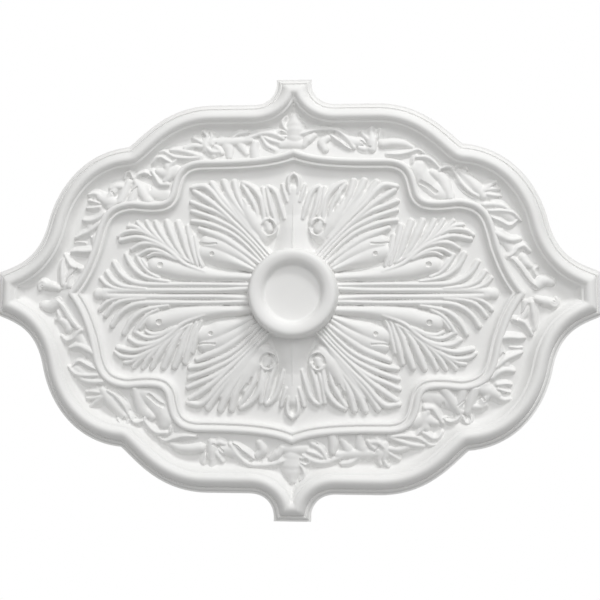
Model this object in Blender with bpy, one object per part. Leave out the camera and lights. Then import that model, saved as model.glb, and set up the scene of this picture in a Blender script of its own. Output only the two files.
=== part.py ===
"""A moulded ceiling rose: one lozenge-shaped casting with a moulded rim, a vine channel, an inner frame, a leaf
rosette and a round boss whose flat dish seats a lamp's canopy. It is drawn lying on its back and then hung:
the flat back is at z = 0 and the relief points down."""

import math
from collections import namedtuple

import bmesh
import bpy
import numpy as np
from mathutils import Vector
from mathutils.geometry import delaunay_2d_cdt

# Overall sizes, in metres
LENGTH = 0.730
WIDTH = 0.534
END_FLAT = 0.052  # the squared ends of the long axis
SIDE_FLAT = 0.044  # the squared ends of the short axis

# Heights above the back
EDGE_HEIGHT = 0.006
GROUND_HEIGHT = 0.010
RIM_STEP_HEIGHT = 0.0145
RIM_HEIGHT = 0.0255
RIM_QUIRK_HEIGHT = 0.0205
CHANNEL_HEIGHT = 0.0172  # the channel's floor beside the inner frame, from where it slopes outwards to the ground
FRAME_HEIGHT = 0.0215
FRAME_QUIRK_HEIGHT = 0.0172
FRAME_BEAD_HEIGHT = 0.0180
BOSS_HEIGHT = 0.0400
DISH_DEPTH = 0.0115

# The rim's profile, as distances in from the outline
RIM_STEP_START = 0.0060
RIM_STEP_END = 0.0078
RIM_CREST = 0.0190
RIM_QUIRK = 0.0248
RIM_FILLET = 0.0268
RIM_COVE = 0.0090  # from the fillet to where the cove meets the channel

# The inner frame, measured at its crest, and its profile as distances from that crest
FRAME_LENGTH = 0.540
FRAME_WIDTH = 0.345
FRAME_FOOT = 0.0046
FRAME_QUIRK = 0.0048
FRAME_BEAD = 0.0080
FRAME_FILLET = 0.0102
FRAME_COVE = 0.0120
CHANNEL_RUN = 0.0340  # how far out from the frame's crest the channel's floor slopes

# The boss
BOSS_FOOT_RADIUS = 0.0560
BOSS_SHOULDER_RADIUS = 0.0530
BOSS_CREST_RADIUS = 0.0470
BOSS_LIP_RADIUS = 0.0440
DISH_RADIUS = 0.0355

# The carving, laid out on a rosette this long and wide, and the vine between frame and rim
ROSETTE_LENGTH = 0.500
ROSETTE_WIDTH = 0.300
LEAF_RISE = 0.0080
VINE_RISE = 0.0060
WEB_SHARE = 0.62  # how high the membrane between two fingers stands beside their crests
PIT_FLOOR = 0.0010  # the least left above the ground at the bottom of a pit

# How finely round forms are faceted
BOSS_SIDES = 28
COVERED = 1.15  # a crease this much lower than the carving over it isn't drawn
PIT_SIDES = 6

LEAF_UNIT = ROSETTE_LENGTH / 500  # what one unit of the drawn leaves measures
VINE_UNIT = LENGTH / 730

Finger = namedtuple("Finger", "line half_width rise")
Pit = namedtuple("Pit", "centre radius")


# Curves

def bezier(corners, steps):
    """Points along a curve with two, three or four control points."""
    corners = np.array(corners, float)
    t = np.linspace(0, 1, steps + 1)[:, None]
    while len(corners) > 1:
        if corners.ndim == 2:
            corners = corners[:, None, :] * np.ones_like(t)[None]
        corners = corners[:-1] * (1 - t) + corners[1:] * t
    return corners[0]


def through(points, share):
    """The point at a share of the way along the smooth curve through three points."""
    start, middle, end = (np.array(point, float) for point in points)
    control = 2 * middle - (start + end) / 2
    return start * (1 - share) ** 2 + control * 2 * share * (1 - share) + end * share**2


def scaled(points, drawn_length, drawn_width, length, width):
    """Points drawn in millimetres on a form of one size, brought to the size wanted, in metres."""
    return np.array(points, float) * (length / drawn_length, width / drawn_width)


def whole_loop(quadrant):
    """The closed loop of a quadrant's line that runs from the y axis to the x axis."""
    inner = quadrant[1:-1]
    turned = [
        quadrant,
        inner[::-1] * (1, -1),
        quadrant[:1] * (1, -1),
        inner * (-1, -1),
        quadrant[-1:] * (-1, 1),
        inner[::-1] * (-1, 1),
    ]
    return np.vstack(turned)


def outline_loop():
    """The outline: squared tips, concave flanks, and two swelling shoulders that meet at a notch."""
    def place(points):
        return scaled(points, 730, 534, LENGTH, WIDTH)

    side_tip = [SIDE_FLAT / 2, WIDTH / 2]
    end_tip = [LENGTH / 2, END_FLAT / 2]
    flank_end, shoulder_start, notch, hip = place([(50, 235.5), (102, 235.5), (206, 183.5), (305.5, 88)])
    handles = place([(20, 250), (30, 236), (160, 235), (189, 197), (264, 178), (296, 132), (316, 41), (344, 35)])
    runs = [
        bezier([side_tip, handles[0], handles[1], flank_end], 5),
        bezier([flank_end, shoulder_start], 1),
        bezier([shoulder_start, handles[2], handles[3], notch], 8),
        bezier([notch, handles[4], handles[5], hip], 9),
        bezier([hip, handles[6], handles[7], end_tip], 7),
    ]
    line = [[0, WIDTH / 2]] + [list(point) for run in runs for point in run[:-1]]
    return whole_loop(np.array(line + [end_tip, [LENGTH / 2, 0]]))


def frame_loop():
    """The inner frame's crest: a shallow point on each axis, and a shouldered corner between."""
    def place(points):
        return scaled(points, 540, 345, FRAME_LENGTH, FRAME_WIDTH)

    runs = [
        place(bezier([(0, 172.5), (22, 162), (60, 160.3), (110, 160.3)], 4)),
        place(bezier([(110, 160.3), (137, 160), (142, 147), (146, 127)], 6)),
        place(bezier([(146, 127), (149, 112.5), (155, 109), (167, 108.3)], 4)),
        place(bezier([(167, 108.3), (185, 107), (195, 111.8), (206, 108.8)], 3)),
        place(bezier([(206, 108.8), (239, 103), (235, 73), (245, 47)], 7)),
        place(bezier([(245, 47), (251, 29), (259, 13), (270, 0)], 3)),
    ]
    line = [list(point) for run in runs for point in run[:-1]]
    return whole_loop(np.array(line + [list(runs[-1][-1])]))


# Distances

def to_line(points, line):
    """The distance of each point from a line of straight stretches, and how far along the line it lies."""
    starts, steps = line[:-1], np.diff(line, axis=0)
    lengths = np.maximum((steps**2).sum(axis=1), 1e-18)
    offsets = points[:, None, :] - starts[None]
    shares = np.clip((offsets * steps).sum(axis=2) / lengths, 0, 1)
    gaps = np.linalg.norm(offsets - shares[:, :, None] * steps, axis=2)
    nearest = gaps.argmin(axis=1)
    rows = np.arange(len(points))
    return gaps[rows, nearest], nearest + shares[rows, nearest]


def inside(points, loop):
    """Whether each point lies in the closed loop."""
    ends = np.roll(loop, -1, axis=0)
    x, y = points[:, 0][:, None], points[:, 1][:, None]
    spans = (loop[:, 1] > y) != (ends[:, 1] > y)
    rise = np.where(ends[:, 1] == loop[:, 1], 1e-12, ends[:, 1] - loop[:, 1])
    crossing = (ends[:, 0] - loop[:, 0]) * (y - loop[:, 1]) / rise + loop[:, 0]
    return (spans & (x < crossing)).sum(axis=1) % 2 == 1


def depth_in(points, loop):
    """The distance of each point in from the closed loop, negative outside it."""
    gaps, _ = to_line(points, np.vstack([loop, loop[:1]]))
    return np.where(inside(points, loop), gaps, -gaps)


def ring(loop, distance):
    """The runs of points a distance in from a loop, with what a tight corner would fold over left out."""
    before, after = np.roll(loop, 1, axis=0), np.roll(loop, -1, axis=0)
    first, second = loop - before, after - loop
    first /= np.linalg.norm(first, axis=1)[:, None]
    second /= np.linalg.norm(second, axis=1)[:, None]
    normals = np.stack([first[:, 1] + second[:, 1], -first[:, 0] - second[:, 0]], axis=1)
    normals /= np.maximum((normals**2).sum(axis=1) / 2, 0.5)[:, None]
    moved = loop + normals * distance
    kept = np.abs(depth_in(moved, loop) - distance) < 0.0006
    return [(moved[i], moved[(i + 1) % len(loop)]) for i in range(len(loop)) if kept[i] and kept[(i + 1) % len(loop)]]


# The profiles of the mouldings

def rim_profile():
    foot = RIM_FILLET + RIM_COVE
    fall = RIM_QUIRK_HEIGHT - GROUND_HEIGHT
    return [
        (0, EDGE_HEIGHT),
        (RIM_STEP_START, RIM_STEP_HEIGHT),
        (RIM_STEP_END, RIM_STEP_HEIGHT),
        (RIM_CREST, RIM_HEIGHT),
        (RIM_QUIRK, RIM_QUIRK_HEIGHT),
        (RIM_FILLET, RIM_QUIRK_HEIGHT),
        (RIM_FILLET + RIM_COVE * 0.4, GROUND_HEIGHT + 0.3 * fall),
        (foot, GROUND_HEIGHT),
    ]


def frame_profile():
    fall = FRAME_QUIRK_HEIGHT - GROUND_HEIGHT
    return [
        (-CHANNEL_RUN, GROUND_HEIGHT),
        (-FRAME_FOOT, CHANNEL_HEIGHT),
        (0, FRAME_HEIGHT),
        (FRAME_QUIRK, FRAME_QUIRK_HEIGHT),
        (FRAME_BEAD, FRAME_BEAD_HEIGHT),
        (FRAME_FILLET, GROUND_HEIGHT + 0.4 * fall),
        (FRAME_FILLET + FRAME_COVE, GROUND_HEIGHT),
    ]


def boss_profile():
    dish_floor = BOSS_HEIGHT - DISH_DEPTH
    return [
        (0, dish_floor),
        (DISH_RADIUS, dish_floor),
        ((DISH_RADIUS + BOSS_LIP_RADIUS) / 2, dish_floor + 0.3 * DISH_DEPTH),
        (BOSS_LIP_RADIUS, BOSS_HEIGHT - 0.0008),
        (BOSS_CREST_RADIUS, BOSS_HEIGHT),
        (BOSS_SHOULDER_RADIUS, BOSS_HEIGHT - 0.35 * (BOSS_HEIGHT - GROUND_HEIGHT)),
        (BOSS_FOOT_RADIUS, GROUND_HEIGHT),
    ]


def height_on(profile, distances):
    places, heights = zip(*profile)
    return np.interp(distances, places, heights)


# The carving

def leaf_point(u, v):
    return np.array([u * ROSETTE_LENGTH / 500, v * ROSETTE_WIDTH / 300])


def finger(root, bend, tip, half_widths, rises, steps=3):
    """One finger of a leaf: a rounded ridge that ends in a round tip."""
    root, tip = leaf_point(*root), leaf_point(*tip)
    chord = tip - root
    control = (root + tip) / 2 + bend * np.array([-chord[1], chord[0]])
    end_half = half_widths[-1] * LEAF_UNIT
    last = tip - control
    spine_end = tip - last / np.linalg.norm(last) * end_half
    line = bezier([root, control, spine_end], steps)
    shares = np.linspace(0, 1, steps + 1)
    marks = np.linspace(0, 1, len(half_widths))
    widths = np.interp(shares, marks, np.array(half_widths) * LEAF_UNIT)
    heights = np.interp(shares, np.linspace(0, 1, len(rises)), np.array(rises) * LEAF_RISE)
    return Finger(line, widths, heights)


def fan(roots, tips, count, bend, half_widths, rises):
    """Fingers side by side, from one curve to another."""
    shares = np.linspace(0, 1, count)
    bends = np.interp(shares, [0, 1], bend)
    return [
        finger(through(roots, share), turn, through(tips, share), half_widths, rises)
        for share, turn in zip(shares, bends)
    ]


def rosette_quadrant():
    """The fans and single fingers of the quadrant with x and y above zero, and its pits."""
    fans = [
        fan([(214, 7), (196, 12), (166, 18)], [(241, 18), (226, 38), (205, 53)], 6, (-0.20, -0.30), (4.0, 4.4, 3.4),
            (0.60, 0.90, 0.75)),
        fan([(140, 43), (140, 38), (142, 32)], [(221, 67), (212, 54), (196, 42)], 4, (0.24, 0.18), (4.6, 5.0, 3.2),
            (1.00, 1.10, 0.85)),
        fan([(188, 74), (158, 59), (124, 40)], [(212, 82), (182, 93), (136, 83)], 7, (0.10, -0.14), (4.8, 5.6, 4.2),
            (0.70, 0.95, 0.75)),
        fan([(52, 38), (46, 44), (38, 52)], [(130, 88), (133, 104), (124, 131)], 4, (0.12, -0.02), (3.4, 5.4, 3.8),
            (1.20, 1.05, 0.85)),
        fan([(88, 100), (78, 94), (64, 92)], [(112, 136), (94, 141), (72, 139)], 4, (-0.10, -0.14), (4.2, 5.6, 4.6),
            (0.85, 1.00, 0.80)),
        fan([(42, 100), (32, 98), (20, 96)], [(58, 138), (40, 134), (25, 132)], 4, (-0.10, -0.12), (4.0, 5.4, 4.6),
            (0.85, 1.00, 0.80)),
    ]
    singles = [
        finger((50, 0), 0, (248, 0), (3.4, 3.2, 3.0, 4.2), (0.95, 0.80, 0.75, 0.90)),
        finger((50, 5.4), 0, (243, 9), (2.6, 2.6, 4.0), (0.90, 0.75, 0.75)),
        finger((50, 11.5), 0, (190, 12), (4.6, 4.6, 3.4), (1.05, 0.90, 0.70)),
        finger((48, 22), -0.02, (190, 34), (6.5, 9.0, 14.0, 11.0), (1.20, 1.10, 1.05, 0.95)),
        finger((46, 33), 0.04, (118, 57), (7.0, 12.0, 14.0), (1.25, 1.15, 1.00)),
        finger((48, 37), 0.10, (130, 80), (4.0, 5.0, 4.0), (1.25, 1.15, 0.90)),
        finger((0, 50), 0, (0, 150), (6.0, 8.0, 6.5, 8.0), (1.20, 1.05, 0.90, 0.85)),
        finger((12, 52), 0.02, (14, 141), (7.5, 8.5, 5.0), (1.10, 0.90, 0.75)),
        finger((32, 50), -0.10, (50, 108), (9.0, 17.0, 18.0), (1.25, 1.10, 0.95)),
    ]
    pits = [
        Pit(leaf_point(166, 31), 0.0045),
        Pit(leaf_point(102, 48), 0.0045),
        Pit(leaf_point(31, 79), 0.0085),
        Pit(leaf_point(60, 113), 0.0050),
        Pit(leaf_point(216, 61), 0.0040),
    ]
    return fans, singles, pits


def mirrored(line, x_sign, y_sign):
    return np.asarray(line) * (x_sign, y_sign)


def vine_point(u, v):
    return np.array([u * LENGTH / 730, v * WIDTH / 534])


def vine_ridge(points, half_width, rise):
    """One rounded ridge of the vine, narrower and lower at its ends."""
    line = np.array([vine_point(*point) for point in points])
    shares = np.linspace(0, 1, len(line))
    swell = np.interp(shares, [0, 0.5, 1], [0.85, 1, 0.85])
    if len(line) == 2:
        swell = np.ones(2)
    return Finger(line, swell * half_width * VINE_UNIT, swell * rise * VINE_RISE)


def vine_half():
    """The vine over one half of the rose, from one end of the long axis over the top to the other."""
    end_leaf = [
        ([(-261, 30), (-272, 34), (-281, 48)], 2.9, 0.9),
        ([(-282, 11), (-284, 25), (-282, 43)], 3.6, 1.0),
        ([(-287, 6), (-298, 9), (-307, 10)], 6.0, 1.0),
    ]
    ribbons = [
        ([(-233, 99), (-241, 92), (-259, 90)], 3.2, 0.9),
        ([(-238, 86), (-250, 77), (-268, 69)], 3.0, 0.9),
        ([(-244, 52), (-272, 51)], 3.3, 1.0),
    ]
    left_leaf = [
        ([(-218, 111), (-239, 119)], 8.5, 0.95),
        ([(-237, 120), (-246, 124), (-254, 123)], 3.2, 0.85),
        ([(-240, 111), (-254, 115)], 2.4, 0.8),
        ([(-239, 106), (-256, 106)], 2.5, 0.8),
        ([(-219, 132), (-228, 119)], 4.0, 0.9),
    ]
    left_hooks = [
        ([(-209, 143), (-207, 150), (-202, 150), (-199, 144)], 2.3, 0.85),
        ([(-197, 141), (-190, 148), (-183, 149), (-176, 145)], 2.5, 0.9),
        ([(-213, 112), (-204, 138)], 5.0, 0.9),
        ([(-179, 115), (-195, 138)], 7.0, 0.8),
        ([(-174, 162), (-170, 168), (-164, 169), (-152, 162)], 2.6, 0.85),
        ([(-145, 150), (-157, 148), (-168, 151)], 9.0, 0.8),
        ([(-175, 151), (-164, 135), (-155, 134)], 3.2, 1.0),
        ([(-155, 156), (-158, 138)], 6.5, 0.8),
        ([(-115, 169), (-128, 173), (-153, 178)], 3.2, 0.85),
        ([(-116, 166), (-140, 167), (-155, 173)], 2.6, 0.8),
    ]
    upper_left_leaf = [
        ([(-53, 190), (-91, 188), (-105, 187)], 5.2, 0.8),
        ([(-108, 178), (-109, 189)], 6.5, 1.0),
        ([(-108, 188), (-107, 195), (-112, 201)], 3.0, 1.0),
        ([(-105, 186), (-101, 194), (-103, 200)], 3.0, 0.9),
        ([(-113, 186), (-124, 193)], 3.0, 0.9),
        ([(-114, 181), (-124, 182), (-134, 179)], 4.0, 0.9),
        ([(-108, 180), (-100, 174), (-88, 173)], 3.4, 0.85),
    ]
    side_palmette = [
        ([(0, 196), (0, 207), (0, 218)], 11.0, 1.0),
        ([(-7, 200), (-13, 208), (-10, 219)], 2.6, 0.8),
        ([(6, 196), (15, 198), (22, 202)], 3.2, 0.8),
        ([(-15, 184), (0, 184), (12, 183)], 6.5, 0.55),
        ([(-13, 190), (-27, 197), (-39, 198), (-58, 191)], 3.4, 0.9),
        ([(-18, 185), (-28, 188), (-36, 193)], 2.8, 0.8),
        ([(-47, 166), (-48, 176), (-47, 186)], 6.0, 0.8),
        ([(-76, 193), (-67, 198), (-57, 199)], 3.0, 0.9),
        ([(14, 198), (38, 202), (58, 197), (74, 178)], 2.9, 0.95),
        ([(46, 194), (60, 183), (69, 177)], 2.4, 0.85),
        ([(41, 191), (35, 185), (38, 176)], 6.0, 0.8),
        ([(25, 195), (12, 182)], 5.5, 0.8),
    ]
    upper_right_leaf = [
        ([(61, 194), (72, 186), (82, 186)], 7.5, 0.8),
        ([(95, 177), (95, 194)], 7.5, 1.0),
        ([(94, 192), (96, 205)], 3.5, 0.7),
        ([(91, 188), (83, 198)], 3.0, 0.8),
        ([(100, 190), (105, 201)], 3.0, 0.8),
        ([(109, 183), (134, 183), (145, 178)], 6.5, 0.95),
    ]
    right_hooks = [
        ([(115, 169), (141, 172), (151, 175), (159, 171)], 2.7, 0.9),
        ([(148, 165), (161, 165), (170, 160), (177, 151)], 2.8, 1.0),
        ([(153, 155), (156, 140)], 8.5, 0.8),
        ([(176, 148), (183, 153), (190, 153), (196, 144)], 2.7, 1.0),
        ([(196, 151), (199, 156), (204, 157), (209, 150)], 2.6, 0.9),
        ([(168, 147), (180, 139), (188, 115)], 7.5, 0.8),
        ([(201, 146), (221, 127), (228, 117)], 7.0, 1.0),
    ]
    right_leaf = [
        ([(228, 124), (237, 131), (243, 135)], 3.4, 0.85),
        ([(231, 124), (248, 126)], 2.7, 0.85),
        ([(232, 119), (249, 118)], 2.7, 0.85),
        ([(228, 106), (240, 106), (258, 101)], 3.5, 0.9),
        ([(234, 98), (250, 99), (263, 96), (272, 88)], 2.7, 0.9),
        ([(237, 90), (257, 82), (268, 89)], 2.2, 0.8),
        ([(237, 73), (259, 64), (271, 65)], 3.8, 1.0),
    ]
    end_stem = [
        ([(256, 44), (267, 54), (275, 57), (281, 51)], 3.0, 0.9),
        ([(274, 43), (284, 32)], 4.5, 0.9),
        ([(261, 41), (277, 22), (285, 11)], 4.0, 0.75),
        ([(288, 10), (297, 16), (306, 14)], 7.0, 1.0),
    ]
    groups = (
        end_leaf, ribbons, left_leaf, left_hooks, upper_left_leaf, side_palmette, upper_right_leaf, right_hooks,
        right_leaf, end_stem,
    )
    return [vine_ridge(*settings) for group in groups for settings in group]


# Where the faces meet

def edges_along(line):
    return [(line[i], line[i + 1]) for i in range(len(line) - 1)]


def side_lines(one):
    """The two edges of a finger, just inside its foot."""
    steps = np.gradient(one.line, axis=0)
    steps /= np.linalg.norm(steps, axis=1)[:, None]
    normals = np.stack([-steps[:, 1], steps[:, 0]], axis=1)
    reach = one.half_width[:, None] * 0.97
    return [one.line + normals * reach, one.line - normals * reach]


def tip_of(one):
    last = one.line[-1] - one.line[-2]
    return one.line[-1] + last / np.linalg.norm(last) * one.half_width[-1] * 0.97


def fan_creases(group):
    """The ridges of a fan's fingers, the valleys between them and the scalloped edge of their tips."""
    creases = []
    for one in group:
        creases += edges_along(one.line)
        creases.append((one.line[-1], tip_of(one)))
    for one, other in zip(group, group[1:]):
        valley = (one.line[1:] + other.line[1:]) / 2
        creases += edges_along(valley)
        outward = (tip_of(one) - one.line[-1] + tip_of(other) - other.line[-1]) / 2
        notch = valley[-1] + outward * 0.6
        creases += [(valley[-1], notch), (tip_of(one), notch), (notch, tip_of(other))]
    return creases


def webs_of(group):
    """The membrane between a fan's fingers, lower than their crests."""
    webs = []
    for one, other in zip(group, group[1:]):
        middle = (one.line + other.line) / 2
        middle[-1] = (middle[-2] + middle[-1]) / 2
        apart = np.linalg.norm(one.line - other.line, axis=1)
        webs.append(Finger(middle, (apart + one.half_width) / 2, one.rise * WEB_SHARE))
    return webs


def foot_creases(one):
    """Where a single finger meets the ground, and its nose."""
    left, right = side_lines(one)
    tip = tip_of(one)
    return edges_along(left) + edges_along(right) + [(one.line[-1], tip), (left[-1], tip), (right[-1], tip)]


def pit_creases(pit):
    turns = np.linspace(0, 2 * math.pi, PIT_SIDES + 1)
    rim = pit.centre + pit.radius * np.stack([np.cos(turns), np.sin(turns)], axis=1)
    return edges_along(rim) + [(pit.centre, rim[0])]


# The casting

def all_fingers(fans, singles):
    return [one for group in fans for one in group + webs_of(group)] + singles


def relief_over(points, fingers):
    """How far the carving stands above the ground at each point."""
    rise = np.zeros(len(points))
    for one in fingers:
        reach = one.half_width.max()
        close = ((points > one.line.min(axis=0) - reach) & (points < one.line.max(axis=0) + reach)).all(axis=1)
        if not close.any():
            continue
        gaps, place = to_line(points[close], one.line)
        stations = np.arange(len(one.line))
        share = gaps / np.interp(place, stations, one.half_width)
        crest = np.interp(place, stations, one.rise)
        rise[close] = np.maximum(rise[close], crest * np.sqrt(np.clip(1 - share**2, 0, 1)))
    return rise


def floor_under(frame_depth):
    """The height that the carving stands on: the flat ground, and outside the frame the sloping channel."""
    slope = np.interp(frame_depth, [-CHANNEL_RUN, -FRAME_FOOT], [GROUND_HEIGHT, CHANNEL_HEIGHT])
    return np.where(frame_depth < 0, slope, GROUND_HEIGHT)


def heights_at(points, outline, frame, fingers, pits):
    rim_depth = depth_in(points, outline)
    frame_depth = depth_in(points, frame)
    radius = np.linalg.norm(points, axis=1)
    carved = floor_under(frame_depth) + relief_over(points, fingers)
    for pit in pits:
        share = np.linalg.norm(points - pit.centre, axis=1) / pit.radius
        sunk = GROUND_HEIGHT + PIT_FLOOR + (carved - GROUND_HEIGHT - PIT_FLOOR) * np.clip(share, 0, 1) ** 2
        carved = np.where(share < 1, np.minimum(carved, sunk), carved)
    bands = [
        height_on(rim_profile(), rim_depth),
        height_on(frame_profile(), frame_depth),
        height_on(boss_profile(), radius),
    ]
    field = np.maximum.reduce(bands + [carved])
    field = np.where(radius < BOSS_CREST_RADIUS, bands[2], field)
    return np.where(rim_depth < RIM_CREST, bands[0], field)


def rosette():
    """The whole rosette: its quadrant mirrored about both axes."""
    fans, singles, pits = rosette_quadrant()
    all_fans, all_singles, all_pits = [], [], []
    for x_sign in (1, -1):
        for y_sign in (1, -1):
            def turned(one):
                return Finger(mirrored(one.line, x_sign, y_sign), one.half_width, one.rise)

            all_fans += [[turned(one) for one in group] for group in fans]
            all_singles += [turned(one) for one in singles]
            all_pits += [Pit(mirrored(pit.centre, x_sign, y_sign), pit.radius) for pit in pits]
    return all_fans, all_singles, all_pits


def vine():
    """The whole vine: one half turned half round for the other."""
    half = vine_half()
    return half + [Finger(-one.line, one.half_width, one.rise) for one in half]


def showing(creases, level, fingers):
    """The creases that no other part of the carving covers."""
    ends = np.array([point for crease in creases for point in crease])
    covered = (relief_over(ends, fingers) > level).reshape(-1, 2).all(axis=1)
    return [crease for crease, hidden in zip(creases, covered) if not hidden]


def creases_of(outline, frame, fans, singles, pits):
    creases = []
    for distance, _ in rim_profile()[1:]:
        creases += ring(outline, distance)
    for distance, _ in frame_profile()[1:]:
        creases += ring(frame, distance) if distance else edges_along(np.vstack([frame, frame[:1]]))
    turns = np.linspace(0, 2 * math.pi, BOSS_SIDES + 1)
    circle = np.stack([np.cos(turns), np.sin(turns)], axis=1)
    for radius, _ in boss_profile()[1:]:
        creases += edges_along(circle * radius)
    fingers = all_fingers(fans, singles)
    for group in fans:
        creases += showing(fan_creases(group), group[0].rise.max() * COVERED, fingers)
    for one in singles:
        creases += showing(edges_along(one.line), one.rise.max() * COVERED, fingers)
        creases += showing(foot_creases(one), one.rise.max() * COVERED / 3, fingers)
    for pit in pits:
        creases += pit_creases(pit)
    return creases


def triangulated(outline, creases):
    """The points and triangles of the face inside the outline, with an edge along every crease."""
    points = [Vector(point) for point in outline]
    edges = []
    for start, end in creases:
        edges.append((len(points), len(points) + 1))
        points += [Vector(start), Vector(end)]
    face = list(range(len(outline)))
    result = delaunay_2d_cdt(points, edges, [face], 1, 2e-4)
    return np.array([tuple(point) for point in result[0]]), result[2]


def casting_mesh(outline, points, heights, triangles):
    """A closed solid: the carved face, the edge wall and the flat back, turned to hang with its face down."""
    mesh = bmesh.new()
    top = [mesh.verts.new((x, -y, -height)) for (x, y), height in zip(points, heights)]
    for triangle in triangles:
        mesh.faces.new([top[i] for i in triangle])
    rim = [edge for edge in mesh.edges if edge.is_boundary]
    wall = bmesh.ops.extrude_edge_only(mesh, edges=rim)
    lowered = [item for item in wall["geom"] if isinstance(item, bmesh.types.BMVert)]
    for corner in lowered:
        corner.co.z = 0
    back_edges = [edge for edge in mesh.edges if edge.is_boundary]
    bmesh.ops.triangle_fill(mesh, use_beauty=True, edges=back_edges)
    bmesh.ops.recalc_face_normals(mesh, faces=mesh.faces)
    data = bpy.data.meshes.new("ceiling_rose")
    mesh.to_mesh(data)
    mesh.free()
    return data


def painted_white():
    material = bpy.data.materials.new("white matte paint")
    material.use_nodes = True
    shader = material.node_tree.nodes["Principled BSDF"]
    shader.inputs["Base Color"].default_value = (0.86, 0.86, 0.85, 1)
    shader.inputs["Roughness"].default_value = 0.6
    shader.inputs["Metallic"].default_value = 0
    return material


def main():
    for obj in list(bpy.data.objects):
        bpy.data.objects.remove(obj)
    outline, frame = outline_loop(), frame_loop()
    leaf_fans, leaf_singles, pits = rosette()
    singles = leaf_singles + vine()
    points, triangles = triangulated(outline, creases_of(outline, frame, leaf_fans, singles, pits))
    fingers = all_fingers(leaf_fans, singles)
    heights = heights_at(points, outline, frame, fingers, pits)
    data = casting_mesh(outline, points, heights, triangles)
    data.materials.append(painted_white())
    rose = bpy.data.objects.new("ceiling_rose", data)
    bpy.context.scene.collection.objects.link(rose)


main()
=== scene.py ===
import math

import bpy
import numpy as np
from mathutils import Matrix, Vector
from mathutils.geometry import delaunay_2d_cdt
from mathutils.kdtree import KDTree


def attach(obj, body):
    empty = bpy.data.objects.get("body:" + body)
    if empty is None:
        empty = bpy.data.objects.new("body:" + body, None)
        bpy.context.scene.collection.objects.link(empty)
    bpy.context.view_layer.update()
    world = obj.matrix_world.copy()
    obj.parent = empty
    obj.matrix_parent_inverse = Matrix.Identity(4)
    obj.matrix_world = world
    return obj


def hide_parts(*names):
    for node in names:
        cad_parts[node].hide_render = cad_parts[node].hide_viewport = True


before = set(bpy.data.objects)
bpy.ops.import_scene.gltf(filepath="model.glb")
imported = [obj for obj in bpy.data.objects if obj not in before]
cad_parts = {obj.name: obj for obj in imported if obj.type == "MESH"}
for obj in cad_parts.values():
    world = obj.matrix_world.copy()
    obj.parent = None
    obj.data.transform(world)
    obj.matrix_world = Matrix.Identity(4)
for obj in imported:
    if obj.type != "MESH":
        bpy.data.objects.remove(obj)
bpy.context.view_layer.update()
print("frame loaded")

millimetre = 0.001  # everything below is laid out in millimetres
batch = 4000  # points measured at a time, to spare memory
tiny = 1e-12  # stands in for zero where something is divided by a length


# Curves and distances

def bezier(corners, steps):
    points = np.array(corners, float)[:, None, :]
    t = np.linspace(0, 1, steps + 1)[:, None]
    while len(points) > 1:
        points = points[:-1] * (1 - t) + points[1:] * t
    return points[0]


def wholeLoop(quadrant):
    inner = quadrant[1:-1]
    parts = [
        quadrant,
        inner[::-1] * (1, -1),
        quadrant[:1] * (1, -1),
        inner * (-1, -1),
        quadrant[-1:] * (-1, 1),
        inner[::-1] * (-1, 1),
    ]
    return np.vstack(parts)


def evenly(line, spacing):
    # the same line with points a fixed distance apart
    lengths = np.linalg.norm(np.diff(line, axis=0), axis=1)
    along = np.concatenate([[0], np.cumsum(lengths)])
    marks = np.linspace(0, along[-1], max(2, int(round(along[-1] / spacing)) + 1))
    return np.stack([np.interp(marks, along, line[:, axis]) for axis in range(2)], axis=1)


def toLine(points, line):
    # each point's distance from a line, and its place along that line's points
    starts, steps = line[:-1], np.diff(line, axis=0)
    lengths = np.maximum((steps**2).sum(axis=1), tiny)
    gaps, places = np.empty(len(points)), np.empty(len(points))
    for first in range(0, len(points), batch):
        part = slice(first, first + batch)
        offsets = points[part, None, :] - starts[None]
        shares = np.clip((offsets * steps).sum(axis=2) / lengths, 0, 1)
        away = np.linalg.norm(offsets - shares[:, :, None] * steps, axis=2)
        nearest = away.argmin(axis=1)
        rows = np.arange(len(away))
        gaps[part] = away[rows, nearest]
        places[part] = nearest + shares[rows, nearest]
    return gaps, places


def inside(points, loop):
    ends = np.roll(loop, -1, axis=0)
    found = np.empty(len(points), bool)
    for first in range(0, len(points), batch):
        part = slice(first, first + batch)
        x, y = points[part, 0][:, None], points[part, 1][:, None]
        spans = (loop[:, 1] > y) != (ends[:, 1] > y)
        rise = np.where(ends[:, 1] == loop[:, 1], tiny, ends[:, 1] - loop[:, 1])
        crossing = (ends[:, 0] - loop[:, 0]) * (y - loop[:, 1]) / rise + loop[:, 0]
        found[part] = (spans & (x < crossing)).sum(axis=1) % 2 == 1
    return found


def depthIn(points, loop):
    # how far inside a closed loop each point lies, and below zero outside it
    gaps, _ = toLine(points, np.vstack([loop, loop[:1]]))
    return np.where(inside(points, loop), gaps, -gaps)


offsetting = {
    "arcStep": 1.5,  # a corner that opens wider than this gets an arc of about such steps
    "sharpest": 0.5,  # keeps a very sharp corner from being thrown far out
    "slack": 0.15,  # a moved point has to lie within this of its distance, or it has folded over
}


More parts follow.
